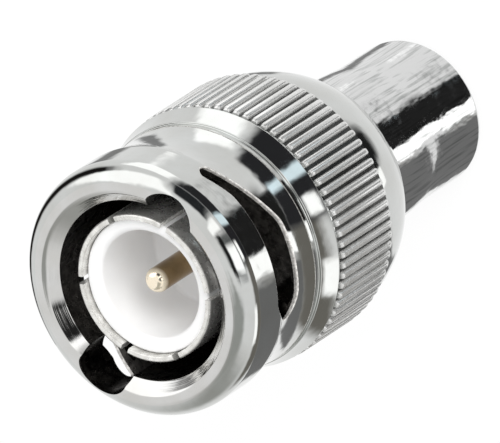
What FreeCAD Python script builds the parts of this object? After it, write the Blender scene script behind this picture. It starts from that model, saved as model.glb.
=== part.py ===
import FreeCAD, Part
import math
import os
import Sketcher

# Adapter from a BNC plug to a phono (RCA) jack. It stands on the end of the phono barrel, with the
# axis along +Z and the mouth of the bayonet nut at the top. The origin is the centre of the foot.

# Driving dimensions: name, value in millimetres, degrees or a plain count, and what it is
SIZES = [
    # Phono barrel and the spigot that the nut turns on
    ("barrel_radius", 4.1, "outside of the phono barrel"),
    ("barrel_wall", 0.9, "wall of the phono barrel"),
    ("barrel_chamfer", 0.35, "outer edge of the barrel's open end"),
    ("barrel_length", 4.0, "straight part of the barrel"),
    ("base_taper_length", 1.9, "cone from the barrel up to its base"),
    ("base_radius", 4.3, "raised base of the barrel"),
    ("base_length", 3.1, "raised base, up to the nut"),
    ("socket_depth", 8.5, "depth of the bore for the rear insulator"),
    ("spigot_radius", 3.55, "bearing of the nut"),
    ("spigot_length", 7.9, "bearing of the nut, from the base to the contact's flange"),
    ("seat_radius", 3.2, "seat that the outer contact is pressed on"),
    ("seat_length", 2.4, "seat that the outer contact is pressed on"),
    ("spigot_bore_radius", 2.5, "bore through the spigot"),
    # Coupling nut, from its mouth to its rear face
    ("nut_running_gap", 0.05, "radial gap between nut and spigot"),
    ("nut_end_gap", 0.1, "gap between the nut's rear face and the base"),
    ("nut_bore_radius", 5.0, "bore that takes the mating sleeve"),
    ("front_wall", 0.75, "wall of the front land outside the lug track"),
    ("nut_front_length", 3.2, "land around the mouth"),
    ("mouth_round", 1.2, "outer rounding of the mouth"),
    ("mouth_lead_width", 0.65, "radial width of the cone that leads into the bore"),
    ("mouth_lead_length", 0.62, "depth of the cone that leads into the bore"),
    ("waist_drop", 0.35, "from the front land in to the waist"),
    ("waist_front_length", 2.35, "from the front land down to the waist"),
    ("flare_length", 2.92, "from the waist out to the collar"),
    ("collar_rise", 0.58, "from the waist out to the collar in front of the knurl"),
    ("ring_groove_offset", 1.25, "from the waist to the thin ring groove"),
    ("ring_groove_width", 0.4, "thin ring groove in the flare"),
    ("ring_groove_reach", 0.06, "radius of the thin ring groove's bottom over the waist's"),
    ("relief_width", 0.26, "groove between collar and knurl"),
    ("rib_rise", 0.02, "from the collar out to the tops of the ribs"),
    ("knurl_length", 4.9, "length of the ribs"),
    ("rib_height", 0.24, "depth of the grooves between the ribs"),
    ("rib_runout", 0.2, "slope at the rear end of the ribs"),
    ("rib_count", 76, "ribs around the nut"),
    ("rib_groove_width", 0.32, "width between two ribs at their tops"),
    ("rib_groove_floor", 0.12, "width between two ribs at their roots"),
    ("rib_root_rise", 0.02, "floor between two ribs over the shoulder behind them"),
    ("dome_length", 4.65, "rounded rear shoulder"),
    ("dome_flatness", 1.2, "radius of the shoulder's profile, over one that meets the ribs smoothly"),
    ("rear_face_width", 1.05, "radial width of the nut's rear face"),
    ("nut_lip_length", 6.1, "length of the bearing in the nut"),
    ("nut_turn", -10.0, "turn of the nut about the axis, as it stands"),
    # Bayonet track in the nut
    ("track_reach", 1.3, "from the bore out to the floor of the lug track"),
    ("track_width", 2.7, "width of the lug track along the axis"),
    ("track_overlap", 0.3, "how far the track's cut reaches into the bore"),
    ("track_depth", 3.35, "from the mouth to the track's middle at the entry"),
    ("track_rise", 0.9, "how much deeper the track runs at its end"),
    ("track_turn", 77.0, "angle that the track covers"),
    ("entry_angle", 37.5, "from the middle of the window back to the entry groove"),
    ("entry_radius", 1.5, "radius of the round entry groove"),
    ("entry_reach", 0.2, "from the track's floor out to the entry groove's deepest line"),
    ("window_start", 0.7, "how far inside the bore's wall the window's cut starts"),
    ("window_depth", 2.9, "from the mouth to the window's front edge"),
    ("window_tip_rise", 0.45, "how far the narrow end reaches forward of the front edge"),
    ("window_tip_drop", 0.5, "how far the narrow end reaches behind the front edge"),
    ("window_tip_round", 0.5, "radius of the narrow end"),
    ("window_narrow_end", 4.24, "from the middle to the narrow end's centre"),
    ("window_front_bend", 2.7, "from the middle to the bend in the front edge"),
    ("window_rear_bend", 0.25, "from the middle to the bend in the rear edge"),
    ("window_width", 2.35, "widest part of the window"),
    ("window_wide_end", 3.5, "from the middle to the wide end's centre"),
    ("window_wide_round", 1.2, "radius of the wide end"),
    # Outer contact
    ("press_gap", 0.01, "gap left between pressed pieces"),
    ("flange_radius", 4.7, "flange that holds the nut back"),
    ("flange_length", 1.2, "thickness of the flange"),
    ("contact_radius", 4.12, "outside of the slotted tube"),
    ("contact_bore_radius", 3.78, "inside of the slotted tube"),
    ("contact_length", 9.6, "from the flange's rear face to the tube's end"),
    ("contact_chamfer", 0.12, "outer edge of the tube's end"),
    ("contact_slot_width", 0.42, "slots of the tube"),
    ("contact_slot_length", 5.6, "slots of the tube"),
    ("contact_second_cut", 65.0, "angle from the first saw cut to the second"),
    ("contact_third_cut", 113.0, "angle from the first saw cut to the third"),
    ("contact_turn", 57.0, "turn of the outer contact about the axis"),
    # Gasket
    ("gasket_gap", 0.1, "gap between the gasket and the tube"),
    ("gasket_width", 0.42, "radial width of the gasket"),
    ("gasket_height", 0.9, "height of the gasket"),
    # Washers behind the flange
    ("washer_bore_gap", 0.2, "gap between a washer and the spigot"),
    ("washer_rim_gap", 0.4, "gap between a washer and the nut"),
    ("washer_thickness", 0.4, "thrust washer"),
    ("washer_play", 0.05, "gap under the thrust washer"),
    ("spring_thickness", 0.22, "wave washer"),
    ("spring_play", 0.02, "gap over and under the wave washer"),
    ("spring_waves", 3, "crests of the wave washer"),
    # Centre contact
    ("contact_recess", 1.3, "from the foot to the socket's end"),
    ("socket_radius", 1.9, "outside of the socket"),
    ("socket_bore_radius", 1.62, "bore for a phono pin"),
    ("socket_bore_depth", 14.0, "bore for a phono pin"),
    ("socket_lead", 0.15, "chamfer at the socket's open end"),
    ("socket_floor", 1.5, "solid part between that bore and the neck"),
    ("socket_slit_width", 0.35, "slits of the socket"),
    ("socket_slit_length", 5.0, "slits of the socket"),
    ("socket_slit_count", 4, "slits of the socket"),
    ("neck_radius", 1.0, "neck between socket and pin"),
    ("neck_recess", 0.05, "from the floor of the white sleeve's bore to the neck's end"),
    ("pin_radius", 0.675, "pin"),
    ("pin_length", 4.82, "pin, from the neck to its tip"),
    ("pin_tip_length", 0.45, "rounded end of the pin"),
    ("pin_tip_bend", 0.6, "radius of the rounded end's profile"),
    ("pin_tip_radius", 0.3, "flat at the pin's tip"),
    # Insulators
    ("insulator_gap", 0.02, "gap around the insulators and the contact in them"),
    ("front_insulator_recess", 0.42, "from the tube's end to the white sleeve"),
    ("front_bore_radius", 2.98, "bore around the pin"),
    ("front_bore_depth", 5.2, "bore around the pin"),
    ("front_lead", 0.14, "chamfer of that bore"),
    ("rear_insulator_recess", 0.3, "from the foot to the rear insulator"),
    ("rear_entry_radius", 1.7, "hole in the rear insulator's face"),
    ("rear_entry_lead", 0.25, "chamfer of that hole"),
]


class Measure:
    """A number kept together with the sheet formula that gives it."""

    def __init__(self, number, formula):
        self.number = number
        self.formula = formula

    def joined(self, sign, other, number):
        return Measure(number, f"({self.formula} {sign} {measure(other).formula})")

    def __add__(self, other):
        return self.joined("+", other, self.number + measure(other).number)

    def __sub__(self, other):
        return self.joined("-", other, self.number - measure(other).number)

    def __mul__(self, other):
        return self.joined("*", other, self.number * measure(other).number)

    def __truediv__(self, other):
        return self.joined("/", other, self.number / measure(other).number)

    def __neg__(self):
        return Measure(-self.number, f"(0 - {self.formula})")


def measure(value):
    """The value itself when it is a Measure, or a plain number as one."""
    if isinstance(value, Measure):
        return value
    return Measure(float(value), str(float(value)))


class Sizes:
    """Reads each named cell of the sheet as a Measure."""

    def __init__(self, sheet):
        self.sheet = sheet

    def __getattr__(self, name):
        return Measure(float(self.sheet.get(name)), f"{self.sheet.Name}.{name}")


doc = FreeCAD.newDocument("Adapter")
sheet = doc.addObject("Spreadsheet::Sheet", "Sizes")
for row, (name, value, note) in enumerate(SIZES, start=1):
    sheet.set(f"A{row}", note)
    sheet.set(f"B{row}", str(value))
    sheet.setAlias(f"B{row}", name)
doc.recompute()
size = Sizes(sheet)


def bind(thing, prop, value):
    """Give a property a Measure: its number now, and its formula from then on."""
    thing.setExpression(prop, measure(value).formula)


def new_body(label, height=0.0, turn=0.0):
    """An empty body, lifted along the axis and turned about it."""
    body = doc.addObject("PartDesign::Body", label)
    body.Label = label
    body.Placement = FreeCAD.Placement(
        FreeCAD.Vector(0, 0, measure(height).number),
        FreeCAD.Rotation(FreeCAD.Vector(0, 0, 1), measure(turn).number),
    )
    bind(body, "Placement.Base.z", height)
    bind(body, "Placement.Rotation.Angle", turn)
    return body


def origin_plane(body, role):
    return next(part for part in body.Origin.OriginFeatures if part.Role == role)


def new_sketch(body, name, role, offset=0.0):
    """A sketch on one of the body's origin planes, moved along the plane's normal."""
    sketch = body.newObject("Sketcher::SketchObject", f"{body.Name}_{name}")
    sketch.AttachmentSupport = (origin_plane(body, role), [""])
    sketch.MapMode = "FlatFace"
    bind(sketch, "AttachmentOffset.Base.z", offset)
    return sketch


def arc_between(start, end, radius):
    """The short arc from start to end. It turns left for a positive radius, right for a negative one."""
    chord = end - start
    middle = (start + end) * 0.5
    left = FreeCAD.Vector(-chord.y, chord.x, 0).normalize()
    rise = math.sqrt(max(radius * radius - chord.Length * chord.Length / 4, 0.0))
    centre = middle + left * (rise if radius > 0 else -rise)
    circle = Part.Circle(centre, FreeCAD.Vector(0, 0, 1), abs(radius))
    ends = (start, end) if radius > 0 else (end, start)
    angles = [math.atan2(point.y - centre.y, point.x - centre.x) for point in ends]
    return Part.ArcOfCircle(circle, angles[0], angles[1])


def draw_outline(sketch, corners):
    """A closed ring of lines and arcs. A corner is (across, up), or (across, up, radius) after an arc."""
    points = [FreeCAD.Vector(measure(c[0]).number, measure(c[1]).number, 0) for c in corners]
    starts = []
    ends = []
    for index, corner in enumerate(corners):
        before = points[index - 1]
        here = points[index]
        if len(corner) == 3:
            radius = measure(corner[2])
            edge = sketch.addGeometry(arc_between(before, here, radius.number), False)
            forward = radius.number > 0
            bend = radius if forward else -radius
            at = sketch.addConstraint(Sketcher.Constraint("Radius", edge, bend.number))
            bind(sketch, f"Constraints[{at}]", bend)
        else:
            edge = sketch.addGeometry(Part.LineSegment(before, here), False)
            forward = True
        starts.append((edge, 1 if forward else 2))
        ends.append((edge, 2 if forward else 1))
    for index, corner in enumerate(corners):
        after = starts[(index + 1) % len(corners)]
        sketch.addConstraint(Sketcher.Constraint("Coincident", *ends[index], *after))
        for kind, value in (("DistanceX", corner[0]), ("DistanceY", corner[1])):
            amount = measure(value)
            at = sketch.addConstraint(Sketcher.Constraint(kind, -1, 1, *ends[index], amount.number))
            bind(sketch, f"Constraints[{at}]", amount)


def turned(body, name, corners, kind="PartDesign::Revolution"):
    """Turn an outline of (radius, height) corners about the body's axis."""
    sketch = new_sketch(body, f"{name}_section", "XZ_Plane")
    draw_outline(sketch, corners)
    feature = body.newObject(kind, f"{body.Name}_{name}")
    feature.Profile = sketch
    feature.ReferenceAxis = (sketch, ["V_Axis"])
    feature.Angle = 360.0
    return feature


def cut(body, name, sketch, length, along_normal):
    """Cut a sketch into the body for a given length."""
    pocket = body.newObject("PartDesign::Pocket", f"{body.Name}_{name}")
    pocket.Profile = sketch
    pocket.Type = 0
    bind(pocket, "Length", length)
    pocket.Reversed = along_normal
    return pocket


def ring_pattern(body, name, features, count):
    """Repeat features evenly around the body's axis."""
    pattern = body.newObject("PartDesign::PolarPattern", f"{body.Name}_{name}")
    pattern.Originals = features
    pattern.Axis = (origin_plane(body, "Z_Axis"), [""])
    pattern.Angle = 360.0
    bind(pattern, "Occurrences", count)
    body.Tip = pattern
    return pattern


def axial_slots(body, name, height, length, inner, outer, width, count):
    """Straight slots through a tube wall, cut down from a height."""
    sketch = new_sketch(body, f"{name}_plan", "XY_Plane", height)
    half = width / 2
    draw_outline(sketch, [(inner, -half), (outer, -half), (outer, half), (inner, half)])
    pocket = cut(body, name, sketch, length, False)
    ring_pattern(body, f"{name}_ring", [pocket], count)


# Heights that several pieces share
base_top = size.barrel_length + size.base_taper_length + size.base_length
flange_seat = base_top + size.spigot_length
spigot_top = flange_seat + size.seat_length
nut_foot = base_top + size.nut_end_gap
sleeve_top = flange_seat + size.contact_length - size.front_insulator_recess
socket_end = size.contact_recess + size.socket_bore_depth + size.socket_floor

# Radii of the nut, from its bore outwards
track_radius = size.nut_bore_radius + size.track_reach
front_radius = track_radius + size.front_wall
waist_radius = front_radius - size.waist_drop
collar_radius = waist_radius + size.collar_rise
knurl_radius = collar_radius + size.rib_rise
root_radius = knurl_radius - size.rib_height


def make_rear_body():
    """Phono barrel, its raised base and the hollow spigot, turned from one bar."""
    body = new_body("rear_body")
    bore = size.barrel_radius - size.barrel_wall
    turned(body, "shell", [
        (bore, 0),
        (size.barrel_radius - size.barrel_chamfer, 0),
        (size.barrel_radius, size.barrel_chamfer),
        (size.barrel_radius, size.barrel_length),
        (size.base_radius, size.barrel_length + size.base_taper_length),
        (size.base_radius, base_top),
        (size.spigot_radius, base_top),
        (size.spigot_radius, flange_seat),
        (size.seat_radius, flange_seat),
        (size.seat_radius, spigot_top),
        (size.spigot_bore_radius, spigot_top),
        (size.spigot_bore_radius, size.socket_depth),
        (bore, size.socket_depth),
    ])
    return body


def sweep_radius(length, rise):
    """Radius of an arc that starts along the axis and leaves it by a rise over a length."""
    return (length * length / rise + rise) / 2


def make_nut():
    """Coupling nut: turned profile, bayonet tracks and windows, and the knurl."""
    body = new_body("coupling_nut", nut_foot, size.nut_turn)
    knurl_top = size.dome_length + size.knurl_length
    collar_foot = knurl_top + size.relief_width
    waist = collar_foot + size.flare_length
    land_foot = waist + size.waist_front_length
    mouth = land_foot + size.nut_front_length
    hole = size.spigot_radius + size.nut_running_gap
    rear_edge = hole + size.rear_face_width
    front_sweep = sweep_radius(size.waist_front_length, size.waist_drop)
    rear_sweep = sweep_radius(size.flare_length, size.collar_rise)
    dome_round = sweep_radius(size.dome_length, root_radius - rear_edge) * size.dome_flatness
    turned(body, "profile", [
        (hole, 0),
        (rear_edge, 0),
        (root_radius, size.dome_length, dome_round),
        (knurl_radius, size.dome_length + size.rib_runout),
        (knurl_radius, knurl_top),
        (root_radius, knurl_top),
        (root_radius, collar_foot),
        (collar_radius, collar_foot),
        (waist_radius, waist, -rear_sweep),
        (front_radius, land_foot, -front_sweep),
        (front_radius, mouth - size.mouth_round),
        (front_radius - size.mouth_round, mouth, size.mouth_round),
        (size.nut_bore_radius + size.mouth_lead_width, mouth),
        (size.nut_bore_radius, mouth - size.mouth_lead_length),
        (size.nut_bore_radius, size.nut_lip_length),
        (hole, size.nut_lip_length),
    ])

    ring_foot = waist - size.ring_groove_offset - size.ring_groove_width
    ring_top = waist - size.ring_groove_offset
    ring_floor = waist_radius + size.ring_groove_reach
    turned(body, "ring_groove", [
        (ring_floor, ring_foot),
        (collar_radius, ring_foot),
        (collar_radius, ring_top),
        (ring_floor, ring_top),
    ], "PartDesign::Groove")
    cut_bayonet(body, mouth)
    cut_knurl(body, knurl_top)
    return body


def cut_bayonet(body, mouth):
    """Two lug tracks: each an entry groove from the mouth, a falling helical track and a window."""
    track_middle = mouth - size.track_depth
    entry_centre = track_radius + size.entry_reach - size.entry_radius
    entry_plan = new_sketch(body, "entry_plan", "XY_Plane", mouth)
    bind(entry_plan, "AttachmentOffset.Rotation.Angle", size.entry_angle - 90)
    circle = Part.Circle(
        FreeCAD.Vector(entry_centre.number, 0, 0), FreeCAD.Vector(0, 0, 1), size.entry_radius.number
    )
    edge = entry_plan.addGeometry(circle, False)
    for kind, places, value in (
        ("Radius", (edge,), size.entry_radius),
        ("DistanceX", (-1, 1, edge, 3), entry_centre),
        ("DistanceY", (-1, 1, edge, 3), measure(0)),
    ):
        at = entry_plan.addConstraint(Sketcher.Constraint(kind, *places, value.number))
        bind(entry_plan, f"Constraints[{at}]", value)
    entry = cut(body, "entry", entry_plan, size.track_depth, False)

    section = new_sketch(body, "track_section", "XZ_Plane")
    upright = FreeCAD.Rotation(FreeCAD.Vector(0, 1, 0), (size.entry_angle - 90).number)
    section.AttachmentOffset = FreeCAD.Placement(FreeCAD.Vector(), upright)
    bind(section, "AttachmentOffset.Rotation.Angle", size.entry_angle - 90)
    inside = size.nut_bore_radius - size.track_overlap
    draw_outline(section, [
        (inside, track_middle - size.track_width / 2),
        (track_radius, track_middle - size.track_width / 2),
        (track_radius, track_middle + size.track_width / 2),
        (inside, track_middle + size.track_width / 2),
    ])
    track = body.newObject("PartDesign::SubtractiveHelix", "coupling_nut_track")
    track.Profile = section
    track.ReferenceAxis = (section, ["V_Axis"])
    track.Mode = "height-turns-angle"
    track.Angle = 0.0
    track.LeftHanded = False
    track.Reversed = True
    bind(track, "Height", size.track_rise)
    bind(track, "Turns", size.track_turn / 360)

    front = mouth - size.window_depth
    rear = front - size.window_width
    view = new_sketch(body, "window_view", "XZ_Plane", size.nut_bore_radius - size.window_start)
    draw_outline(view, [
        (-size.window_wide_end, rear, size.window_wide_round),
        (size.window_rear_bend, rear),
        (size.window_narrow_end, front - size.window_tip_drop),
        (size.window_narrow_end, front + size.window_tip_rise, size.window_tip_round),
        (size.window_front_bend, front),
        (-size.window_wide_end, front),
    ])
    window = cut(body, "window", view, front_radius, True)
    ring_pattern(body, "bayonet", [entry, track, window], 2)


def cut_knurl(body, top):
    """Straight grooves between the ribs, open to the relief groove and to the dome."""
    plan = new_sketch(body, "rib_groove_plan", "XY_Plane", top + size.relief_width / 2)
    floor = root_radius + size.rib_root_rise
    over = knurl_radius + size.rib_height
    floor_half = size.rib_groove_floor / 2
    over_half = size.rib_groove_width - size.rib_groove_floor / 2
    draw_outline(plan, [(floor, -floor_half), (over, -over_half), (over, over_half), (floor, floor_half)])
    length = size.relief_width / 2 + size.knurl_length + size.rib_height
    groove = cut(body, "rib_groove", plan, length, False)
    ring_pattern(body, "knurl", [groove], size.rib_count)


def make_outer_contact():
    """Slotted spring tube with the flange that holds the nut back, pressed on the spigot's seat."""
    body = new_body("outer_contact", flange_seat, size.contact_turn)
    turned(body, "tube", [
        (size.seat_radius + size.press_gap, 0),
        (size.flange_radius, 0),
        (size.flange_radius, size.flange_length),
        (size.contact_radius, size.flange_length),
        (size.contact_radius, size.contact_length - size.contact_chamfer),
        (size.contact_radius - size.contact_chamfer, size.contact_length),
        (size.contact_bore_radius, size.contact_length),
        (size.contact_bore_radius, size.seat_length),
        (size.seat_radius + size.press_gap, size.seat_length),
    ])
    reach = size.contact_radius + size.contact_slot_width
    half = size.contact_slot_width / 2
    cuts = (("first", 0.0), ("second", size.contact_second_cut), ("third", size.contact_third_cut))
    for name, angle in cuts:
        plan = new_sketch(body, f"{name}_cut_plan", "XY_Plane", size.contact_length)
        bind(plan, "AttachmentOffset.Rotation.Angle", angle)
        draw_outline(plan, [(-reach, -half), (reach, -half), (reach, half), (-reach, half)])
        cut(body, f"{name}_cut", plan, size.contact_slot_length, False)
    return body


def make_front_insulator():
    """White sleeve: a thin stem in the spigot and a thick head in the outer contact."""
    body = new_body("front_insulator", size.socket_depth)
    head_foot = spigot_top - size.socket_depth
    top = sleeve_top - size.socket_depth
    step = socket_end - size.socket_depth
    stem = size.spigot_bore_radius - size.insulator_gap
    head = size.contact_bore_radius - size.insulator_gap
    turned(body, "sleeve", [
        (size.socket_radius + size.insulator_gap, 0),
        (stem, 0),
        (stem, head_foot),
        (head, head_foot),
        (head, top),
        (size.front_bore_radius + size.front_lead, top),
        (size.front_bore_radius, top - size.front_lead),
        (size.front_bore_radius, top - size.front_bore_depth),
        (size.neck_radius + size.insulator_gap, top - size.front_bore_depth),
        (size.neck_radius + size.insulator_gap, step),
        (size.socket_radius + size.insulator_gap, step),
    ])
    return body


def make_rear_insulator():
    """Sleeve in the phono barrel, with a smaller hole in its face that keeps the contact in."""
    body = new_body("rear_insulator", size.rear_insulator_recess)
    length = size.socket_depth - size.rear_insulator_recess
    lip = size.contact_recess - size.rear_insulator_recess
    turned(body, "sleeve", [
        (size.rear_entry_radius + size.rear_entry_lead, 0),
        (size.barrel_radius - size.barrel_wall - size.insulator_gap, 0),
        (size.barrel_radius - size.barrel_wall - size.insulator_gap, length),
        (size.socket_radius + size.insulator_gap, length),
        (size.socket_radius + size.insulator_gap, lip),
        (size.rear_entry_radius, lip),
        (size.rear_entry_radius, size.rear_entry_lead),
    ])
    return body


def make_centre_contact():
    """One turned contact: slotted socket for a phono pin, a neck, and the pin of the plug."""
    body = new_body("centre_contact", size.contact_recess)
    socket_length = socket_end - size.contact_recess
    neck_top = sleeve_top - size.front_bore_depth - size.neck_recess - size.contact_recess
    tip = neck_top + size.pin_length
    turned(body, "profile", [
        (size.socket_bore_radius + size.socket_lead, 0),
        (size.socket_radius, 0),
        (size.socket_radius, socket_length),
        (size.neck_radius, socket_length),
        (size.neck_radius, neck_top),
        (size.pin_radius, neck_top),
        (size.pin_radius, tip - size.pin_tip_length),
        (size.pin_tip_radius, tip, size.pin_tip_bend),
        (0, tip),
        (0, size.socket_bore_depth),
        (size.socket_bore_radius, size.socket_bore_depth),
        (size.socket_bore_radius, size.socket_lead),
    ])
    inner = size.socket_bore_radius - size.socket_slit_width
    outer = size.socket_radius + size.socket_slit_width
    axial_slots(
        body, "slit", size.socket_slit_length, size.socket_slit_length,
        inner, outer, size.socket_slit_width, size.socket_slit_count,
    )
    return body


def make_gasket():
    """Soft ring that seals against the end of the mating sleeve."""
    body = new_body("gasket", flange_seat + size.flange_length)
    inner = size.contact_radius + size.gasket_gap
    outer = inner + size.gasket_width
    turned(body, "ring", [
        (inner, 0),
        (outer, 0),
        (outer, size.gasket_height),
        (inner, size.gasket_height),
    ])
    return body


def make_thrust_washer():
    """Flat ring on the nut's inner lip, which the spring bears on."""
    body = new_body("thrust_washer", nut_foot + size.nut_lip_length + size.washer_play)
    inner = size.spigot_radius + size.washer_bore_gap
    outer = size.nut_bore_radius - size.washer_rim_gap
    turned(body, "ring", [
        (inner, 0),
        (outer, 0),
        (outer, size.washer_thickness),
        (inner, size.washer_thickness),
    ])
    return body


def wave_loop(radius, middle, swing, crests):
    """A closed smooth curve around the axis that rises and falls with each crest."""
    steps = 8 * crests
    points = []
    for step in range(steps):
        angle = 2 * math.pi * step / steps
        lift = middle + swing * math.cos(crests * angle)
        points.append(FreeCAD.Vector(radius * math.cos(angle), radius * math.sin(angle), lift))
    curve = Part.BSplineCurve()
    curve.interpolate(Points=points, PeriodicFlag=True)
    return curve.toShape()


def make_wave_washer():
    """Wavy spring ring between the thrust washer and the flange."""
    foot = nut_foot + size.nut_lip_length + size.washer_play + size.washer_thickness + size.spring_play
    height = (flange_seat - size.spring_play - foot).number
    thickness = size.spring_thickness.number
    inner = (size.spigot_radius + size.washer_bore_gap).number
    outer = (size.nut_bore_radius - size.washer_rim_gap).number
    crests = round(size.spring_waves.number)
    swing = (height - thickness) / 2
    low = [wave_loop(radius, swing, swing, crests) for radius in (inner, outer)]
    high = [wave_loop(radius, swing + thickness, swing, crests) for radius in (inner, outer)]
    faces = [
        Part.makeRuledSurface(low[0], low[1]),
        Part.makeRuledSurface(high[0], high[1]),
        Part.makeRuledSurface(low[0], high[0]),
        Part.makeRuledSurface(low[1], high[1]),
    ]
    shell = Part.makeShell([face for surface in faces for face in surface.Faces])
    shell.sewShape()
    solid = Part.makeSolid(shell)
    if solid.Volume < 0:
        solid.reverse()
    washer = doc.addObject("Part::Feature", "wave_washer")
    washer.Label = "wave_washer"
    washer.Shape = solid
    washer.Placement = FreeCAD.Placement(FreeCAD.Vector(0, 0, foot.number), FreeCAD.Rotation())
    return washer


def check_and_write(pieces):
    """Stop if any object failed, then write one STEP file for each piece."""
    for item in doc.Objects:
        if "Invalid" in item.State or "Error" in item.State:
            raise RuntimeError(f"{item.Label} failed: {item.State}")
    os.makedirs("parts", exist_ok=True)
    for piece in pieces:
        if piece.Shape.isNull() or not piece.Shape.isValid():
            raise RuntimeError(f"{piece.Label} has no valid shape")
        piece.Shape.exportStep(f"parts/{piece.Label}.step")
        print(f"{piece.Label}: {piece.Shape.Volume:.2f} mm3, {len(piece.Shape.Solids)} solid")


pieces = [
    make_rear_body(),
    make_nut(),
    make_outer_contact(),
    make_front_insulator(),
    make_rear_insulator(),
    make_centre_contact(),
    make_gasket(),
    make_thrust_washer(),
    make_wave_washer(),
]
doc.recompute()
check_and_write(pieces)
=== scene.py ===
import math

import bpy
import numpy as np
from mathutils import Matrix, Vector


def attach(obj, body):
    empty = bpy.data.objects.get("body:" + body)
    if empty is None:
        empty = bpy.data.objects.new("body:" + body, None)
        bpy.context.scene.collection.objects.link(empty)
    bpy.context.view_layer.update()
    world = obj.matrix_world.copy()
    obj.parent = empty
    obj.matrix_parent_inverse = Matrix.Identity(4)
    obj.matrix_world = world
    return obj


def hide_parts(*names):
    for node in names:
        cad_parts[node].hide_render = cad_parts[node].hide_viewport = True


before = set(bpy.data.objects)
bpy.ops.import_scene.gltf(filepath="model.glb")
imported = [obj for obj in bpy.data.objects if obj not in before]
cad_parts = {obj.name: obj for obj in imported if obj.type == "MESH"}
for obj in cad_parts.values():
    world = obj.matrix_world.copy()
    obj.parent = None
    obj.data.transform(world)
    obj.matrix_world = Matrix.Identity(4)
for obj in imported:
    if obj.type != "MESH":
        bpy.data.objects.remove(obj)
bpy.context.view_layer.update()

# Everything below is built in millimetres and goes to metres when its object is made
METRE = 0.001

# Heights above the foot of the phono barrel
BARREL_LENGTH = 4.0
TAPER_TOP = 5.9
BASE_TOP = 9.0
NUT_FOOT = 9.1
FLANGE_SEAT = 16.9
SPIGOT_TOP = 19.3
SLEEVE_TOP = 26.08
CONTACT_END = 26.5
SOCKET_FOOT = 1.3
SOCKET_END = 16.8
NECK_TOP = 20.83
PIN_TIP = 25.65
DOME_TOP = NUT_FOOT + 4.65
KNURL_TOP = DOME_TOP + 4.9
COLLAR_FOOT = KNURL_TOP + 0.26
WAIST = COLLAR_FOOT + 2.92
LAND_FOOT = WAIST + 2.35
MOUTH = LAND_FOOT + 3.2

# Radii of the nut
BORE = 5.0
TRACK_FLOOR = 6.3
LAND = 7.05
WAIST_RADIUS = 6.7
COLLAR = 7.28
RIB_TOP = 7.3
RIB_ROOT = 7.06
NUT_TURN = math.radians(-10.0)

# Bayonet in the nut
ENTRY_RADIUS = 1.5
ENTRY_REACH = 0.2
ENTRY_ANGLE = 37.5 - 90
TRACK_SWEEP = 77
TRACK_TOP = 3.35
TRACK_FALL = 0.9
TRACK_HALF_WIDTH = 1.35

# Saw cuts through the outer contact
SAW_ANGLES = (57, 57 + 65, 57 + 113)
SAW_HALF_WIDTH = 0.21
SAW_DEPTH = 5.6


def arc_points(start, end, radius, step):
    """Points and directions on the short arc. It turns left for a positive radius."""
    chord = end - start
    length = np.hypot(*chord)
    left = np.array([-chord[1], chord[0]]) / length
    rise = math.sqrt(max(radius * radius - length * length / 4, 0.0))
    centre = (start + end) / 2 + left * (rise if radius > 0 else -rise)
    half = math.asin(min(1.0, length / 2 / abs(radius)))
    count = max(3, int(2 * half * abs(radius) / step))
    sign = 1 if radius > 0 else -1
    first = math.atan2(start[1] - centre[1], start[0] - centre[0])
    angles = first + sign * np.linspace(0, 2 * half, count + 1)
    points = centre + abs(radius) * np.stack([np.cos(angles), np.sin(angles)], 1)
    ways = sign * np.stack([-np.sin(angles), np.cos(angles)], 1)
    return points, ways


def line_points(start, end, step):
    length = np.hypot(*(end - start))
    count = max(1, int(length / step))
    points = start + np.linspace(0, 1, count + 1)[:, None] * (end - start)
    ways = np.repeat([(end - start) / length], count + 1, 0)
    return points, ways


def turned_path(corners, step=0.2, closed=True):
    """Sampled outline of a turned piece, walked with the metal on its left.

    A corner is (radius, height, rounding) or, at the end of an arc, (radius, height, rounding, arc radius).
    """
    places = [np.array(c[:2], float) for c in corners]
    runs = []
    for i in range(len(corners)):
        start = places[i - 1]
        if len(corners[i]) == 4:
            runs.append(arc_points(start, places[i], corners[i][3], step))
        else:
            runs.append(line_points(start, places[i], step))
    if not closed:
        runs[0] = None
    points = []
    ways = []
    back = [0.0] * len(corners)
    for i, corner in enumerate(corners):
        after = runs[(i + 1) % len(corners)]
        if runs[i] is None or after is None:
            continue
        way_in = runs[i][1][-1]
        way_out = after[1][0]
        turn = math.atan2(way_in[0] * way_out[1] - way_in[1] * way_out[0], way_in @ way_out)
        back[i] = corner[2] * math.tan(abs(turn) / 2)
    for i, corner in enumerate(corners):
        run = runs[i]
        if run is not None:
            from_start = np.hypot(*(run[0] - places[i - 1]).T)
            from_end = np.hypot(*(run[0] - places[i]).T)
            keep = (from_start > back[i - 1] + 1e-6) & (from_end > back[i] + 1e-6)
            points += list(run[0][keep])
            ways += list(run[1][keep])
        after = runs[(i + 1) % len(corners)]
        if run is None or after is None:
            points.append(places[i])
            ways.append((after if run is None else run)[1][0 if run is None else -1])
            continue
        way_in = run[1][-1]
        way_out = after[1][0]
        turn = math.atan2(way_in[0] * way_out[1] - way_in[1] * way_out[0], way_in @ way_out)
        if abs(turn) < 0.02 or back[i] == 0:
            points.append(places[i])
            ways.append(way_in)
            continue
        side = 1 if turn > 0 else -1
        entry = places[i] - way_in * back[i]
        centre = entry + side * corner[2] * np.array([-way_in[1], way_in[0]])
        count = max(3, int(abs(turn) / 0.3))
        for k in range(count + 1):
            bend = turn * k / count
            swing = np.array([[math.cos(bend), -math.sin(bend)], [math.sin(bend), math.cos(bend)]])
            points.append(centre + swing @ (entry - centre))
            ways.append(swing @ way_in)
    return np.array(points), np.array(ways)


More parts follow.
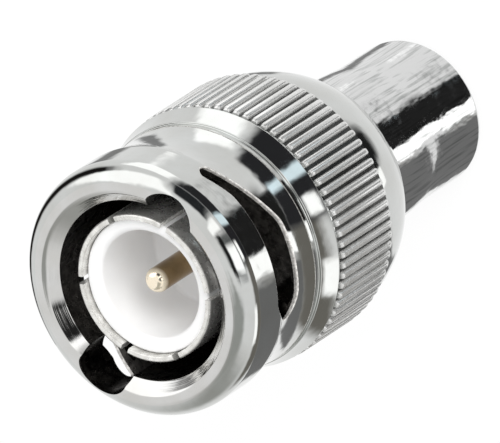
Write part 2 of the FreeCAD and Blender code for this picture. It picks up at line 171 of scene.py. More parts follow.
def spin(path, segments, closed=True):
    """Vertices and faces of an outline turned about the axis."""
    points = path[0]
    rows = len(points)
    angles = np.linspace(0, 2 * math.pi, segments, endpoint=False)
    verts = np.empty((segments, rows, 3))
    verts[:, :, 0] = np.cos(angles)[:, None] * points[:, 0]
    verts[:, :, 1] = np.sin(angles)[:, None] * points[:, 0]
    verts[:, :, 2] = points[:, 1]
    faces = []
    for j in range(segments):
        here = j * rows
        there = (j + 1) % segments * rows
        for i in range(rows if closed else rows - 1):
            k = (i + 1) % rows
            faces.append((here + i, there + i, there + k, here + k))
    return verts.reshape(-1, 3), faces


def make_object(name, verts, faces):
    mesh = bpy.data.meshes.new(name)
    mesh.from_pydata([tuple(v) for v in verts], [], faces)
    mesh.validate()
    mesh.update()
    thing = bpy.data.objects.new(name, mesh)
    bpy.context.scene.collection.objects.link(thing)
    return thing


def carve(thing, cutters):
    """Cut other closed meshes out of a mesh, then delete them."""
    for cutter in cutters:
        change = thing.modifiers.new("cut", "BOOLEAN")
        change.operation = "DIFFERENCE"
        change.solver = "EXACT"
        change.object = cutter
    graph = bpy.context.evaluated_depsgraph_get()
    mesh = bpy.data.meshes.new_from_object(thing.evaluated_get(graph))
    thing.modifiers.clear()
    thing.data = mesh
    for cutter in cutters:
        bpy.data.objects.remove(cutter)


def nearest_on_path(path, places):
    """For points (radius, height): distance to the outline and its direction there."""
    points, ways = path
    starts = points
    ends = np.roll(points, -1, 0)
    spans = ends - starts
    squares = np.maximum((spans**2).sum(1), 1e-12)
    best = np.full(len(places), 1e9)
    found = np.zeros((len(places), 2))
    for i in range(len(points)):
        along = ((places - starts[i]) @ spans[i] / squares[i]).clip(0, 1)
        gap = np.hypot(*(places - starts[i] - along[:, None] * spans[i]).T)
        better = gap < best - 1e-9
        best[better] = gap[better]
        mix = along[better, None]
        found[better] = ways[i] * (1 - mix) + ways[(i + 1) % len(points)] * mix
    return best, found


def finish_piece(thing, paths, body, nodes, materials, choose=None, sharp=32):
    """Set exact normals on the turned surfaces, then scale, material and body.

    choose(centre radius, centre height, on outline) gives each face's material number.
    """
    mesh = thing.data
    mesh.set_sharp_from_angle(angle=math.radians(sharp))
    mesh.polygons.foreach_set("use_smooth", [True] * len(mesh.polygons))
    loops = len(mesh.loops)
    normals = np.empty(loops * 3)
    mesh.corner_normals.foreach_get("vector", normals)
    normals = normals.reshape(-1, 3)
    verts = np.empty(len(mesh.vertices) * 3)
    mesh.vertices.foreach_get("co", verts)
    verts = verts.reshape(-1, 3)
    centres = np.empty(len(mesh.polygons) * 3)
    mesh.polygons.foreach_get("center", centres)
    centres = centres.reshape(-1, 3)
    facing = np.empty(len(mesh.polygons) * 3)
    mesh.polygons.foreach_get("normal", facing)
    facing = facing.reshape(-1, 3)
    corner_vert = np.empty(loops, int)
    mesh.loops.foreach_get("vertex_index", corner_vert)
    counts = np.empty(len(mesh.polygons), int)
    mesh.polygons.foreach_get("loop_total", counts)
    corner_face = np.repeat(np.arange(len(counts)), counts)

    face_place = np.stack([np.hypot(centres[:, 0], centres[:, 1]), centres[:, 2]], 1)
    vert_place = np.stack([np.hypot(verts[:, 0], verts[:, 1]), verts[:, 2]], 1)
    turned = np.zeros(len(counts), bool)
    for path in paths:
        gap, way = nearest_on_path(path, face_place)
        round_about = centres[:, :2] / np.maximum(face_place[:, :1], 1e-9)
        exact = np.concatenate([round_about * way[:, 1:], -way[:, :1]], 1)
        exact /= np.maximum(np.linalg.norm(exact, axis=1, keepdims=True), 1e-9)
        on_path = (gap < 0.006) & ((exact * facing).sum(1) > 0.9)
        turned |= on_path
        way = nearest_on_path(path, vert_place)[1]
        round_about = verts[:, :2] / np.maximum(vert_place[:, :1], 1e-9)
        vert_normals = np.concatenate([round_about * way[:, 1:], -way[:, :1]], 1)
        vert_normals /= np.maximum(np.linalg.norm(vert_normals, axis=1, keepdims=True), 1e-9)
        chosen = on_path[corner_face]
        normals[chosen] = vert_normals[corner_vert[chosen]]
    mesh.normals_split_custom_set(normals.tolist())

    for material in materials:
        mesh.materials.append(material)
    if choose:
        mesh.polygons.foreach_set("material_index", choose(face_place[:, 0], face_place[:, 1], turned))
    mesh.vertices.foreach_set("co", (verts * METRE).ravel())
    mesh.update()
    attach(thing, body)
    if nodes:
        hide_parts(*nodes)


def block(name, low, high, turn=0.0):
    """A closed box, turned about the axis."""
    corners = [
        (x, y, z)
        for z in (low[2], high[2])
        for x, y in ((low[0], low[1]), (high[0], low[1]), (high[0], high[1]), (low[0], high[1]))
    ]
    spun = Matrix.Rotation(turn, 3, "Z")
    faces = [(3, 2, 1, 0), (4, 5, 6, 7), (0, 1, 5, 4), (1, 2, 6, 5), (2, 3, 7, 6), (3, 0, 4, 7)]
    return make_object(name, [spun @ Vector(c) for c in corners], faces)


def stack_rings(name, rings):
    """A closed mesh through rings of the same number of points, with a cap at each end."""
    count = len(rings[0])
    verts = [p for ring in rings for p in ring]
    faces = [tuple(reversed(range(count))), tuple(range(len(verts) - count, len(verts)))]
    for k in range(len(rings) - 1):
        for i in range(count):
            j = (i + 1) % count
            low = k * count
            faces.append((low + i, low + j, low + count + j, low + count + i))
    return make_object(name, verts, faces)


# Materials


def new_material(name):
    material = bpy.data.materials.new(name)
    material.use_nodes = True
    nodes = material.node_tree.nodes
    nodes.clear()
    shader = nodes.new("ShaderNodeBsdfPrincipled")
    output = nodes.new("ShaderNodeOutputMaterial")
    material.node_tree.links.new(shader.outputs[0], output.inputs["Surface"])
    return material, shader


def noise(tree, scale, detail=3.0, stretch=(1.0, 1.0, 1.0), roughness=0.5):
    """Noise with its scale given per millimetre of the object."""
    nodes = tree.nodes
    coords = nodes.new("ShaderNodeTexCoord")
    mapping = nodes.new("ShaderNodeMapping")
    mapping.inputs["Scale"].default_value = [1000.0 * s for s in stretch]
    texture = nodes.new("ShaderNodeTexNoise")
    texture.inputs["Scale"].default_value = scale
    texture.inputs["Detail"].default_value = detail
    texture.inputs["Roughness"].default_value = roughness
    tree.links.new(coords.outputs["Object"], mapping.inputs["Vector"])
    tree.links.new(mapping.outputs[0], texture.inputs["Vector"])
    return texture.outputs["Fac"]


def spread(tree, source, low, high, start=0.35, end=0.65):
    """Stretch part of a value's range to a new range."""
    node = tree.nodes.new("ShaderNodeMapRange")
    node.inputs["From Min"].default_value = start
    node.inputs["From Max"].default_value = end
    node.inputs["To Min"].default_value = low
    node.inputs["To Max"].default_value = high
    tree.links.new(source, node.inputs["Value"])
    return node.outputs[0]


def two_tone(tree, source, first, second):
    node = tree.nodes.new("ShaderNodeMix")
    node.data_type = "RGBA"
    node.inputs["A"].default_value = (*first, 1)
    node.inputs["B"].default_value = (*second, 1)
    tree.links.new(source, node.inputs["Factor"])
    return node.outputs["Result"]


def lathe_lines(tree, scale):
    """Fine rings about the axis, with their scale given per millimetre along the profile."""
    nodes = tree.nodes
    coords = nodes.new("ShaderNodeTexCoord")
    parts = nodes.new("ShaderNodeSeparateXYZ")
    tree.links.new(coords.outputs["Object"], parts.inputs[0])
    flat = nodes.new("ShaderNodeCombineXYZ")
    tree.links.new(parts.outputs[0], flat.inputs[0])
    tree.links.new(parts.outputs[1], flat.inputs[1])
    length = nodes.new("ShaderNodeVectorMath")
    length.operation = "LENGTH"
    tree.links.new(flat.outputs[0], length.inputs[0])
    place = nodes.new("ShaderNodeCombineXYZ")
    tree.links.new(length.outputs["Value"], place.inputs[0])
    tree.links.new(parts.outputs[2], place.inputs[1])
    wander = nodes.new("ShaderNodeVectorMath")
    wander.operation = "MULTIPLY_ADD"
    wander.inputs[1].default_value = (0.025, 0.025, 0.0)
    tree.links.new(flat.outputs[0], wander.inputs[0])
    tree.links.new(place.outputs[0], wander.inputs[2])
    texture = nodes.new("ShaderNodeTexNoise")
    texture.inputs["Scale"].default_value = scale * 1000
    texture.inputs["Detail"].default_value = 2.0
    tree.links.new(wander.outputs[0], texture.inputs["Vector"])
    return texture.outputs["Fac"]


def bumps(tree, shader, layers):
    """Chain bump nodes: (height, depth in millimetres, strength)."""
    last = None
    for height, depth, strength in layers:
        node = tree.nodes.new("ShaderNodeBump")
        node.inputs["Distance"].default_value = depth * METRE
        node.inputs["Strength"].default_value = strength
        tree.links.new(height, node.inputs["Height"])
        if last:
            tree.links.new(last, node.inputs["Normal"])
        last = node.outputs[0]
    tree.links.new(last, shader.inputs["Normal"])


def metal(
    name, light, dark, smooth, rough, grain, grain_depth, lathe_depth,
    waves=0.0, wave_stretch=(1, 1, 1), tone_stretch=(0.5, 0.5, 0.5), tone_range=(0.3, 0.7), metallic=1.0,
):
    """Plated metal: uneven tone and gloss, fine grain, turning lines and slow waviness."""
    material, shader = new_material(name)
    tree = material.node_tree
    shader.inputs["Metallic"].default_value = metallic
    tone = spread(tree, noise(tree, 1.0, 4.0, tone_stretch), 0.0, 1.0, *tone_range)
    tree.links.new(two_tone(tree, tone, light, dark), shader.inputs["Base Color"])
    gloss = spread(tree, noise(tree, 2.2, 5.0), smooth, rough)
    tree.links.new(gloss, shader.inputs["Roughness"])
    layers = [
        (noise(tree, grain, 3.0), grain_depth, 1.0),
        (lathe_lines(tree, 9.0), lathe_depth, 1.0),
    ]
    if waves:
        layers.append((noise(tree, 1.0, 1.0, wave_stretch), waves, 1.0))
    bumps(tree, shader, layers)
    return material


nickel = metal(
    "nickel", (0.605, 0.619, 0.609), (0.549, 0.553, 0.535), 0.03, 0.09, 9.0, 0.0004, 0.0006,
    0.012, (1.4, 1.4, 1.1),
)
nickel_lip = metal(
    "nickel_lip", (0.644, 0.644, 0.637), (0.574, 0.567, 0.546), 0.03, 0.1, 9.0, 0.0006, 0.006, 0.008,
)
nickel_barrel = metal(
    "nickel_barrel", (0.679, 0.682, 0.679), (0.406, 0.416, 0.409), 0.03, 0.12, 6.0, 0.0012, 0.0004,
    0.014, (2.5, 2.5, 1.2), (5.5, 5.5, 0.3), (0.5, 0.68),
)
nickel_knurl = metal(
    "nickel_knurl", (0.679, 0.679, 0.672), (0.588, 0.588, 0.574), 0.16, 0.3, 4.0, 0.003, 0.0006, metallic=0.68
)
# Painted shade: dark nickel for the ground between the knurl ribs
nickel_root_painted_shade = metal("nickel_root_painted_shade", (0.16, 0.16, 0.155), (0.07, 0.07, 0.067), 0.3, 0.45, 5.0, 0.002, 0.0006)
nickel_contact = metal(
    "nickel_contact", (0.88, 0.87, 0.84), (0.6, 0.59, 0.56), 0.2, 0.4, 5.0, 0.006, 0.002,
    tone_stretch=(2.5, 2.5, 2.5), metallic=0.72,
)
# Painted shade: near-black nickel for the hollows of the nut and the hidden foot of the contact tube
nickel_painted_shade = metal(
    "nickel_painted_shade", (0.085, 0.08, 0.075), (0.02, 0.019, 0.018), 0.2, 0.4, 5.0, 0.01, 0.006,
    tone_stretch=(2.5, 2.5, 2.5),
)
nickel_cut = metal(
    "nickel_cut", (0.98, 0.96, 0.92), (0.4, 0.385, 0.37), 0.2, 0.4, 3.0, 0.05, 0.004,
    tone_stretch=(5, 5, 5), metallic=0.55,
)


def gold_material():
    """Gold plated contact with painted light: painted shade makes the shaft dark brown, and a painted
    highlight makes the tip pale.
    """
    # Painted shade: the shaft's dark brown base colour stands in for the shade down in the bore
    material = metal("gold_contact", (0.40, 0.28, 0.15), (0.24, 0.165, 0.085), 0.12, 0.25, 9.0, 0.001, 0.002)
    tree = material.node_tree
    shader = next(n for n in tree.nodes if n.type == "BSDF_PRINCIPLED")
    shaft_painted_shade = shader.inputs["Base Color"].links[0].from_socket
    coords = tree.nodes.new("ShaderNodeTexCoord")
    parts = tree.nodes.new("ShaderNodeSeparateXYZ")
    tree.links.new(coords.outputs["Object"], parts.inputs[0])
    # Painted highlight: the base colour turns pale over the last half millimetre towards the tip
    tip_painted_highlight = spread(tree, parts.outputs[2], 0.0, 1.0, (PIN_TIP - 0.55) * METRE, (PIN_TIP - 0.3) * METRE)
    node = tree.nodes.new("ShaderNodeMix")
    node.data_type = "RGBA"
    node.inputs["B"].default_value = (0.95, 0.85, 0.68, 1)
    tree.links.new(tip_painted_highlight, node.inputs["Factor"])
    tree.links.new(shaft_painted_shade, node.inputs["A"])
    tree.links.new(node.outputs["Result"], shader.inputs["Base Color"])
    return material


gold = gold_material()
steel = metal("spring_steel", (0.62, 0.61, 0.6), (0.5, 0.49, 0.47), 0.25, 0.4, 9.0, 0.002, 0.002)


def white_plastic():
    material, shader = new_material("white_insulator")
    tree = material.node_tree
    tone = spread(tree, noise(tree, 0.6, 3.0), 0.0, 1.0)
    colour = two_tone(tree, tone, (0.94, 0.94, 0.94), (0.91, 0.91, 0.91))
    tree.links.new(colour, shader.inputs["Base Color"])
    tree.links.new(spread(tree, noise(tree, 3.0, 4.0), 0.32, 0.48), shader.inputs["Roughness"])
    bumps(tree, shader, [(noise(tree, 1.0, 2.0, (0.2, 0.2, 8.0)), 0.002, 1.0)])
    return material


def rubber_material():
    material, shader = new_material("gasket_rubber")
    tree = material.node_tree
    tone = spread(tree, noise(tree, 2.0, 4.0), 0.0, 1.0)
    colour = two_tone(tree, tone, (0.12, 0.03, 0.025), (0.07, 0.02, 0.015))
    tree.links.new(colour, shader.inputs["Base Color"])
    tree.links.new(spread(tree, noise(tree, 5.0, 4.0), 0.5, 0.7), shader.inputs["Roughness"])
    bumps(tree, shader, [(noise(tree, 8.0, 4.0), 0.01, 1.0)])
    return material


plastic = white_plastic()
rubber = rubber_material()

# Coupling nut: front half with the bayonet, rear half, and the ribs of the knurl


def sweep(length, rise):
    return (length * length / rise + rise) / 2


ring_foot = WAIST - 1.25 - 0.4
ring_top = WAIST - 1.25
ring_floor = WAIST_RADIUS + 0.06
flare = sweep(WAIST - COLLAR_FOOT, COLLAR - WAIST_RADIUS)
throat = sweep(LAND_FOOT - WAIST, LAND - WAIST_RADIUS)


def flare_radius(height):
    """Outside of the nut between collar and front land."""
    if height >= LAND_FOOT:
        return LAND
    if height >= WAIST:
        return WAIST_RADIUS + throat - math.sqrt(throat**2 - (height - WAIST) ** 2)
    return WAIST_RADIUS + flare - math.sqrt(flare**2 - (WAIST - height) ** 2)


front_path = turned_path([
    (BORE, COLLAR_FOOT, 0.02),
    (RIB_ROOT, COLLAR_FOOT, 0.02),
    (COLLAR, COLLAR_FOOT, 0.07),
    (flare_radius(ring_foot), ring_foot, 0.05, -flare),
    (ring_floor, ring_foot, 0.05),
    (ring_floor, ring_top, 0.05),
    (flare_radius(ring_top), ring_top, 0.05),
    (WAIST_RADIUS, WAIST, 0.0, -flare),
    (LAND, LAND_FOOT, 1.2, -throat),
    (LAND, MOUTH - 1.2, 0.0),
    (LAND - 1.2, MOUTH, 0.0, 1.2),
    (BORE + 0.65, MOUTH, 0.48),
    (BORE, MOUTH - 0.62, 0.12),
], 0.16)
verts, faces = spin(front_path, 300)
nut_front = make_object("nut_front", verts, faces)


def spun(points, turn):
    """Points (x, y, z) turned about the axis."""
    c, s = math.cos(turn), math.sin(turn)
    return [(x * c - y * s, x * s + y * c, z) for x, y, z in points]


def entry_cutter(turn):
    """Round groove that lets a lug in from the mouth."""
    at = math.radians(ENTRY_ANGLE)
    reach = TRACK_FLOOR + ENTRY_REACH - ENTRY_RADIUS
    centre = reach * math.cos(at), reach * math.sin(at)
    rings = []
    stations = (
        (MOUTH - 3.3, ENTRY_RADIUS),
        (MOUTH - 0.16, ENTRY_RADIUS),
        (MOUTH - 0.08, ENTRY_RADIUS + 0.03),
        (MOUTH + 0.26, ENTRY_RADIUS + 0.2),
    )
    for height, radius in stations:
        ring = []
        for k in range(48):
            a = 2 * math.pi * k / 48
            ring.append((centre[0] + radius * math.cos(a), centre[1] + radius * math.sin(a), height))
        rings.append(spun(ring, turn))
    return stack_rings("entry_cutter", rings)


def track_cutter(turn):
    """Falling track for a lug, square in section."""
    rings = []
    for k in range(61):
        share = k / 60
        at = math.radians(ENTRY_ANGLE - TRACK_SWEEP * share)
        middle = MOUTH - TRACK_TOP - TRACK_FALL * share
        section = (
            (TRACK_FLOOR, -TRACK_HALF_WIDTH),
            (TRACK_FLOOR, TRACK_HALF_WIDTH),
            (BORE - 0.3, TRACK_HALF_WIDTH),
            (BORE - 0.3, -TRACK_HALF_WIDTH),
        )
        ring = [(radius * math.cos(at), radius * math.sin(at), middle + lift) for radius, lift in section]
        rings.append(spun(ring, turn))
    return stack_rings("track_cutter", rings)


def window_outline():
    """Window seen from the side as (x, height): round wide end, long slanted rear edge, narrow tip."""
    front = MOUTH - 2.9
    rear = front - 2.35
    corners = [
        (-3.5, rear, 0.0, 1.2),
        (0.25, rear, 1.5),
        (4.24, front - 0.5, 0.0),
        (4.24, front + 0.45, 0.0, 0.5),
        (2.7, front, 1.0),
        (-3.5, front, 0.0),
    ]
    return turned_path(corners, 0.12)


def window_cutter(turn):
    """Window with its outer edge rounded where it meets the nut's outside."""
    points, ways = window_outline()
    outward = np.stack([ways[:, 1], -ways[:, 0]], 1)
    rings = [[(x, -4.3, z) for x, z in points]]
    edge = 0.14
    rings.append([(x, -math.sqrt((flare_radius(z) - edge - 0.1) ** 2 - x * x), z) for x, z in points])
    for step in range(5):
        bend = math.pi / 2 * step / 4
        shifted = points + outward * edge * (1 - math.cos(bend))
        ring = []
        for x, z in shifted:
            reach = math.sqrt(flare_radius(z) ** 2 - x * x)
            ring.append((x, -(reach - edge * (1 - math.sin(bend))), z))
        rings.append(ring)
    rings.append([(x, -9.0, z) for x, z in points + outward * (edge + 0.01)])
    return stack_rings("window_cutter", [spun(ring, turn) for ring in rings])


cutters = []
for half_turn in (0.0, math.pi):
    cutters += [entry_cutter(half_turn), track_cutter(half_turn), window_cutter(half_turn)]
carve(nut_front, cutters)
nut_front.data.transform(Matrix.Rotation(NUT_TURN, 4, "Z"))


def front_material(radius, height, on_outline):
    """Outside, painted shade on the inside and on the deep cut faces, the bright edges of the windows and the
    mouth with its turning marks.
    """
    inside = on_outline & (radius < BORE + 0.02)
    surface = np.array([flare_radius(h) for h in height])
    floor = ~on_outline & (radius < surface - 0.25)
    mouth = on_outline & ~inside & (height > MOUTH - 0.75) & (radius < LAND - 0.9)
    # Inside faces and deep cut faces take the painted-shade nickel
    chosen = np.where(inside | floor, 1, np.where(on_outline, 0, 2))
    return np.where(mouth, 3, chosen).astype(np.int32)


finish_piece(
    nut_front, [front_path], "nut", ["coupling_nut"],
    [nickel, nickel_painted_shade, nickel_cut, nickel_lip], front_material,
)

dome_end = 4.65
dome_round = sweep(DOME_TOP - NUT_FOOT, RIB_ROOT - dome_end) * 1.2
rear_path = turned_path([
    (3.6, NUT_FOOT, 0.05),
    (dome_end, NUT_FOOT, 0.06),
    (RIB_ROOT, DOME_TOP, 0.0, dome_round),
    (RIB_ROOT, KNURL_TOP, 0.0),
    (RIB_ROOT, COLLAR_FOOT, 0.02),
    (BORE, COLLAR_FOOT, 0.02),
    (BORE, NUT_FOOT + 6.1, 0.05),
    (3.6, NUT_FOOT + 6.1, 0.05),
], 0.2)
verts, faces = spin(rear_path, 300)
nut_rear = make_object("nut_rear", verts, faces)


def rear_material(radius, height, on_outline):
    """Outside, painted shade inside, and painted shade on the ground between the ribs."""
    inside = (radius < BORE + 0.01) & (height > NUT_FOOT + 0.3)
    # Painted shade on the ground between the ribs
    ground = (radius > RIB_ROOT - 0.02) & (height < KNURL_TOP) & (height > DOME_TOP - 0.05)
    return np.where(inside, 1, np.where(ground, 2, 0)).astype(np.int32)


finish_piece(
    nut_rear, [rear_path], "nut", ["coupling_nut"],
    [nickel, nickel_painted_shade, nickel_root_painted_shade], rear_material,
)


def make_ribs(count=76):
    """Straight ribs of the knurl: flat tops with broken edges, which run out on the dome."""
    stations = [
        (KNURL_TOP, 7.15, 0.8),
        (KNURL_TOP - 0.04, 7.22, 0.92),
        (KNURL_TOP - 0.12, 7.28, 0.99),
        (KNURL_TOP - 0.22, RIB_TOP, 1.0),
        (DOME_TOP + 0.5, RIB_TOP, 1.0),
        (DOME_TOP + 0.28, 7.28, 0.99),
        (DOME_TOP + 0.12, 7.22, 0.95),
        (DOME_TOP, 7.12, 0.85),
        (DOME_TOP - 0.12, 6.98, 0.6),
    ]
    verts = []
    faces = []
    for k in range(count):
        at = 2 * math.pi * (k + 0.5) / count
        across = np.array([-math.sin(at), math.cos(at), 0])
        out = np.array([math.cos(at), math.sin(at), 0])
        base = len(verts)
        for height, top, wide in stations:
            half = [
                (0.215, min(6.9, top - 0.1)),
                (0.205 * wide, top - 0.17),
                (0.175 * wide, top - 0.08),
                (0.14 * wide, top - 0.025),
                (0.085 * wide, top),
            ]
            section = [(-x, y) for x, y in half] + half[::-1]
            verts += [tuple(across * x + out * y + np.array([0, 0, height])) for x, y in section]
        count_in = len(section)
        faces.append(tuple(base + i for i in range(count_in)))
        last = base + (len(stations) - 1) * count_in
        faces.append(tuple(last + i for i in reversed(range(count_in))))
        for s in range(len(stations) - 1):
            row = base + s * count_in
            for i in range(count_in):
                j = (i + 1) % count_in
                faces.append((row + j, row + i, row + count_in + i, row + count_in + j))
    return make_object("nut_ribs", verts, faces)


ribs = make_ribs()
finish_piece(ribs, [], "nut", ["coupling_nut"], [nickel_knurl], sharp=50)

# Phono barrel and spigot
shell_path = turned_path([
    (3.2, 0, 0.08),
    (4.1 - 0.35, 0, 0.12),
    (4.1, 0.35, 0.35),
    (4.1, BARREL_LENGTH, 17.0),
    (4.3, TAPER_TOP, 17.0),
    (4.3, BASE_TOP, 0.08),
    (3.55, BASE_TOP, 0.05),
    (3.55, FLANGE_SEAT, 0.03),
    (3.2, FLANGE_SEAT, 0.03),
    (3.2, SPIGOT_TOP, 0.05),
    (2.5, SPIGOT_TOP, 0.05),
    (2.5, 8.5, 0.05),
    (3.2, 8.5, 0.05),
], 0.25)
verts, faces = spin(shell_path, 240)
shell = make_object("phono_shell", verts, faces)
finish_piece(shell, [shell_path], "body", ["rear_body"], [nickel_barrel])

# Outer contact: flanged tube, sawn through three times
tube_path = turned_path([
    (3.21, FLANGE_SEAT, 0.05),
    (4.7, FLANGE_SEAT, 0.06),
    (4.7, FLANGE_SEAT + 1.2, 0.06),
    (4.12, FLANGE_SEAT + 1.2, 0.05),
    (4.12, CONTACT_END, 0.14),
    (3.78, CONTACT_END, 0.06),
    (3.78, SPIGOT_TOP, 0.05),
    (3.21, SPIGOT_TOP, 0.05),
], 0.25)
verts, faces = spin(tube_path, 200)
tube = make_object("outer_contact_tube", verts, faces)
slots = []
for angle in SAW_ANGLES:
    low = (-4.6, -SAW_HALF_WIDTH, CONTACT_END - SAW_DEPTH)
    high = (4.6, SAW_HALF_WIDTH, CONTACT_END + 1)
    slots.append(block("slot_cutter", low, high, math.radians(angle)))
carve(tube, slots)
# Below the spigot top the tube takes the painted-shade nickel
finish_piece(
    tube, [tube_path], "body", ["outer_contact"], [nickel_contact, nickel_painted_shade],
    lambda radius, height, on_outline: np.where(height < SPIGOT_TOP, 1, 0).astype(np.int32),
)

# White sleeve around the pin
sleeve_path = turned_path([
    (1.92, 8.5, 0.03),
    (2.48, 8.5, 0.03),
    (2.48, SPIGOT_TOP, 0.03),
    (3.76, SPIGOT_TOP, 0.03),
    (3.76, SLEEVE_TOP, 0.12),
    (2.98, SLEEVE_TOP, 0.4),
    (2.98, SLEEVE_TOP - 5.2, 0.25),
    (1.02, SLEEVE_TOP - 5.2, 0.05),
    (1.02, SOCKET_END, 0.03),
    (1.92, SOCKET_END, 0.03),
], 0.2)
verts, faces = spin(sleeve_path, 200)
sleeve = make_object("front_sleeve", verts, faces)
finish_piece(sleeve, [sleeve_path], "body", ["front_insulator"], [plastic])

# Insulator in the phono barrel
rear_sleeve_path = turned_path([
    (1.95, 0.3, 0.05),
    (3.18, 0.3, 0.1),
    (3.18, 8.5, 0.03),
    (1.92, 8.5, 0.03),
    (1.92, SOCKET_FOOT, 0.03),
    (1.7, SOCKET_FOOT, 0.03),
    (1.7, 0.55, 0.1),
], 0.25)
verts, faces = spin(rear_sleeve_path, 160)
rear_sleeve = make_object("rear_sleeve", verts, faces)
finish_piece(rear_sleeve, [rear_sleeve_path], "body", ["rear_insulator"], [plastic])

# Centre contact with its slit socket
pin_path = turned_path([
    (1.77, SOCKET_FOOT, 0.03),
    (1.9, SOCKET_FOOT, 0.06),
    (1.9, SOCKET_END, 0.05),
    (1.0, SOCKET_END, 0.05),
    (1.0, NECK_TOP, 0.08),
    (0.675, NECK_TOP, 0.05),
    (0.675, PIN_TIP - 0.45, 0.12),
    (0.3, PIN_TIP, 0.1, 0.6),
    (0.001, PIN_TIP, 0.0),
    (0.001, SOCKET_FOOT + 14.0, 0.0),
    (1.62, SOCKET_FOOT + 14.0, 0.1),
    (1.62, SOCKET_FOOT + 0.15, 0.05),
], 0.2)
verts, faces = spin(pin_path, 96)
pin = make_object("centre_pin", verts, faces)
slits = []
for k in range(4):
    turn = math.radians(90 * k)
    slits.append(block("slit_cutter", (1.2, -0.175, SOCKET_FOOT - 1), (2.3, 0.175, SOCKET_FOOT + 5.0), turn))
carve(pin, slits)
finish_piece(pin, [pin_path], "body", ["centre_contact"], [gold])

# Gasket
ring_path = turned_path([
    (4.22, FLANGE_SEAT + 1.2, 0.05),
    (4.64, FLANGE_SEAT + 1.2, 0.05),
    (4.64, FLANGE_SEAT + 2.1, 0.15),
    (4.22, FLANGE_SEAT + 2.1, 0.15),
], 0.2)
verts, faces = spin(ring_path, 160)
gasket = make_object("gasket_ring", verts, faces)
finish_piece(gasket, [ring_path], "body", ["gasket"], [rubber])

# The two washers are hidden and keep their solids
for name in ("thrust_washer", "wave_washer"):
    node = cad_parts[name]
    node.data.materials.clear()
    node.data.materials.append(steel)

# Floor
bpy.ops.mesh.primitive_circle_add(vertices=96, radius=3.0, fill_type="NGON", location=(0, 0, -0.00002))
floor = bpy.context.object
floor.name = "floor"
floor.visible_glossy = False
paper = bpy.data.materials.new("paper")
paper.use_nodes = True
tree = paper.node_tree
tree.nodes.clear()
matt = tree.nodes.new("ShaderNodeBsdfDiffuse")
matt.inputs["Color"].default_value = (0.9, 0.9, 0.9, 1)
glow = tree.nodes.new("ShaderNodeEmission")
glow.inputs["Strength"].default_value = 1.03
both = tree.nodes.new("ShaderNodeMixShader")
path_kind = tree.nodes.new("ShaderNodeLightPath")
share = tree.nodes.new("ShaderNodeMath")
share.operation = "MULTIPLY"
share.inputs[1].default_value = 0.85
output = tree.nodes.new("ShaderNodeOutputMaterial")
tree.links.new(path_kind.outputs["Is Camera Ray"], share.inputs[0])
tree.links.new(share.outputs[0], both.inputs[0])
tree.links.new(matt.outputs[0], both.inputs[1])
tree.links.new(glow.outputs[0], both.inputs[2])
tree.links.new(both.outputs[0], output.inputs["Surface"])
floor.data.materials.append(paper)

# Studio: a pale background that the metal shows too, with dark flags and soft boxes in front of it
world = bpy.data.worlds.new("studio")
bpy.context.scene.world = world
world.use_nodes = True
tree = world.node_tree
tree.nodes.clear()


def calc(operation, *inputs):
    node = tree.nodes.new("ShaderNodeMath")
    node.operation = operation
    for slot_in, value in zip(node.inputs, inputs):
        if isinstance(value, (int, float)):
            slot_in.default_value = value
        else:
            tree.links.new(value, slot_in)
    return node.outputs[0]


def blend_colours(share, first, second):
    node = tree.nodes.new("ShaderNodeMix")
    node.data_type = "RGBA"
    tree.links.new(share, node.inputs["Factor"])
    for slot_in, value in ((node.inputs["A"], first), (node.inputs["B"], second)):
        if isinstance(value, tuple):
            slot_in.default_value = (*value, 1)
        else:
            tree.links.new(value, slot_in)
    return node.outputs["Result"]


def soft_inside(distance, half, edge):
    """1 within half of the middle, 0 beyond, with a soft edge."""
    node = tree.nodes.new("ShaderNodeMapRange")
    node.interpolation_type = "SMOOTHSTEP"
    node.inputs["From Min"].default_value = half + edge
    node.inputs["From Max"].default_value = half - edge
    tree.links.new(distance, node.inputs["Value"])
    return node.outputs[0]


way = tree.nodes.new("ShaderNodeTexCoord")
parts = tree.nodes.new("ShaderNodeSeparateXYZ")
tree.links.new(way.outputs["Generated"], parts.inputs[0])
east, north, high = parts.outputs
azimuth = calc("DEGREES", calc("ARCTAN2", calc("MULTIPLY", east, -1.0), calc("MULTIPLY", north, -1.0)))
elevation = calc("DEGREES", calc("ARCSINE", high))


def card(behind, sides, heights, colour, soft, tilt=0.0):
    """A flag or soft box before the background: from side to side and from low to high, in degrees."""
    across = calc("SUBTRACT", azimuth, (sides[0] + sides[1]) / 2)
    up = calc("SUBTRACT", elevation, (heights[0] + heights[1]) / 2)
    if tilt:
        up = calc("SUBTRACT", up, calc("MULTIPLY", across, tilt))
    wide = soft_inside(calc("ABSOLUTE", across), (sides[1] - sides[0]) / 2, soft[0])
    tall = soft_inside(calc("ABSOLUTE", up), (heights[1] - heights[0]) / 2, soft[1])
    if not isinstance(colour, tuple):
        colour = (colour, colour, colour)
    return blend_colours(calc("MULTIPLY", wide, tall), behind, colour)


BACKGROUND = (1.0, 1.0, 1.0)
DIFFUSE_LIGHT = (0.88, 0.88, 0.88)
SOFT_BOX = 1.7

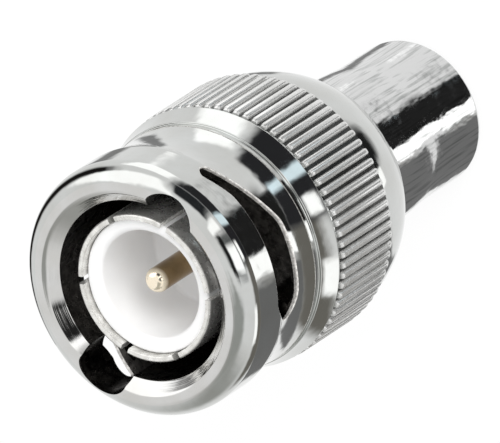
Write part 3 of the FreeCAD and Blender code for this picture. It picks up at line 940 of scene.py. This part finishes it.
# Sides, heights, colour, soft edges and tilt of each card. A later card hangs in front of an earlier one
CARDS = [
    # Grey and black flags in front of the background
    ((-4, 34), (-6, 60), (0.15, 0.16, 0.16), (6, 8)),
    ((-6, 38), (38, 54), 0.02, (6, 3)),
    ((20, 120), (-50, -18), (0.2, 0.19, 0.17), (8, 6)),
    ((-178, -98), (-24, 2), (0.012, 0.011, 0.01), (8, 7), 0.42),
    ((-52, 26), (-48, -2), (0.03, 0.03, 0.033), (5, 3)),
    ((-54, -20), (-2, 42), (0.025, 0.027, 0.03), (5, 6)),
    ((62, 150), (40, 74), (0.42, 0.43, 0.41), (12, 8)),
    ((-24, 24), (-74, -58), 0.02, (12, 6)),
    ((-158, -138), (-58, -47.2), 0.27, (5, 1)),
    ((-15, 30), (-66, -47.2), 0.02, (4, 1)),
    ((54, 150), (-58, -47.2), 0.2, (4, 1)),
    ((100, 150), (-10, 50), (0.45, 0.455, 0.435), (20, 14)),
    # Soft boxes
    ((-130, -62), (13, 58), SOFT_BOX, (5, 5)),
    ((-96, -60), (-46, -13), SOFT_BOX, (4, 2.5), 0.25),
    ((-16, -6), (12, 64), SOFT_BOX, (3.5, 5)),
    ((-17, -7), (-47, -3), (1.1, 1.3, 1.4), (2.5, 1.5)),
    ((8, 30), (-4, 38), SOFT_BOX, (3.5, 5)),
    ((7, 22), (-23, -9), SOFT_BOX, (2.5, 2.5)),
    ((57, 85), (-27, -12), SOFT_BOX, (4, 3), -0.12),
    ((28, 47), (-66, -47.2), SOFT_BOX, (1.8, 1)),
]
room = BACKGROUND
for row in CARDS:
    room = card(room, *row)

kind = tree.nodes.new("ShaderNodeLightPath")
plain = tree.nodes.new("ShaderNodeBackground")
clear = calc("MAXIMUM", kind.outputs["Is Camera Ray"], kind.outputs["Is Transmission Ray"])
seen = blend_colours(clear, DIFFUSE_LIGHT, BACKGROUND)
tree.links.new(seen, plain.inputs["Color"])
mirrored = tree.nodes.new("ShaderNodeBackground")
tree.links.new(room, mirrored.inputs["Color"])
both = tree.nodes.new("ShaderNodeMixShader")
output = tree.nodes.new("ShaderNodeOutputWorld")
tree.links.new(kind.outputs["Is Glossy Ray"], both.inputs[0])
tree.links.new(plain.outputs[0], both.inputs[1])
tree.links.new(mirrored.outputs[0], both.inputs[2])
tree.links.new(both.outputs[0], output.inputs["Surface"])

# Camera
toward = Vector((0.0, -0.646, 0.763)).normalized()
image_up = Vector((0.839, -0.416, -0.352))
image_up = (image_up - toward * image_up.dot(toward)).normalized()
image_right = image_up.cross(toward)
PIXELS_PER_MM = 19.3
anchor = Vector((0, 0, (MOUTH - 0.985) * METRE))
middle = anchor + image_right * (250 - 144.6) / PIXELS_PER_MM * METRE
middle += image_up * (288.1 - 221.5) / PIXELS_PER_MM * METRE
distance = 1.087
camera_data = bpy.data.cameras.new("camera")
camera = bpy.data.objects.new("camera", camera_data)
bpy.context.scene.collection.objects.link(camera)
turn = Matrix((image_right, image_up, toward)).transposed()
camera.matrix_world = Matrix.Translation(middle + toward * distance) @ turn.to_4x4()
camera_data.sensor_width = 36.0
camera_data.lens = 36.0 * distance / (500 / PIXELS_PER_MM * METRE)
camera_data.clip_start = 0.1
camera_data.clip_end = 10.0
bpy.context.scene.camera = camera


def soft_light(name, direction, reach, size, power):
    """Square soft light that faces the middle of the part."""
    data = bpy.data.lights.new(name, "AREA")
    data.size = size
    data.energy = power
    lamp = bpy.data.objects.new(name, data)
    bpy.context.scene.collection.objects.link(lamp)
    aim = Vector(direction).normalized()
    lamp.location = Vector((0, 0, 0.018)) + aim * reach
    lamp.rotation_euler = aim.to_track_quat("Z", "Y").to_euler()
    return lamp


key = soft_light("key", (0.24, -0.88, 0.56), 0.4, 0.26, 1.1)
key.visible_glossy = False

bpy.context.scene.view_settings.view_transform = "Standard"
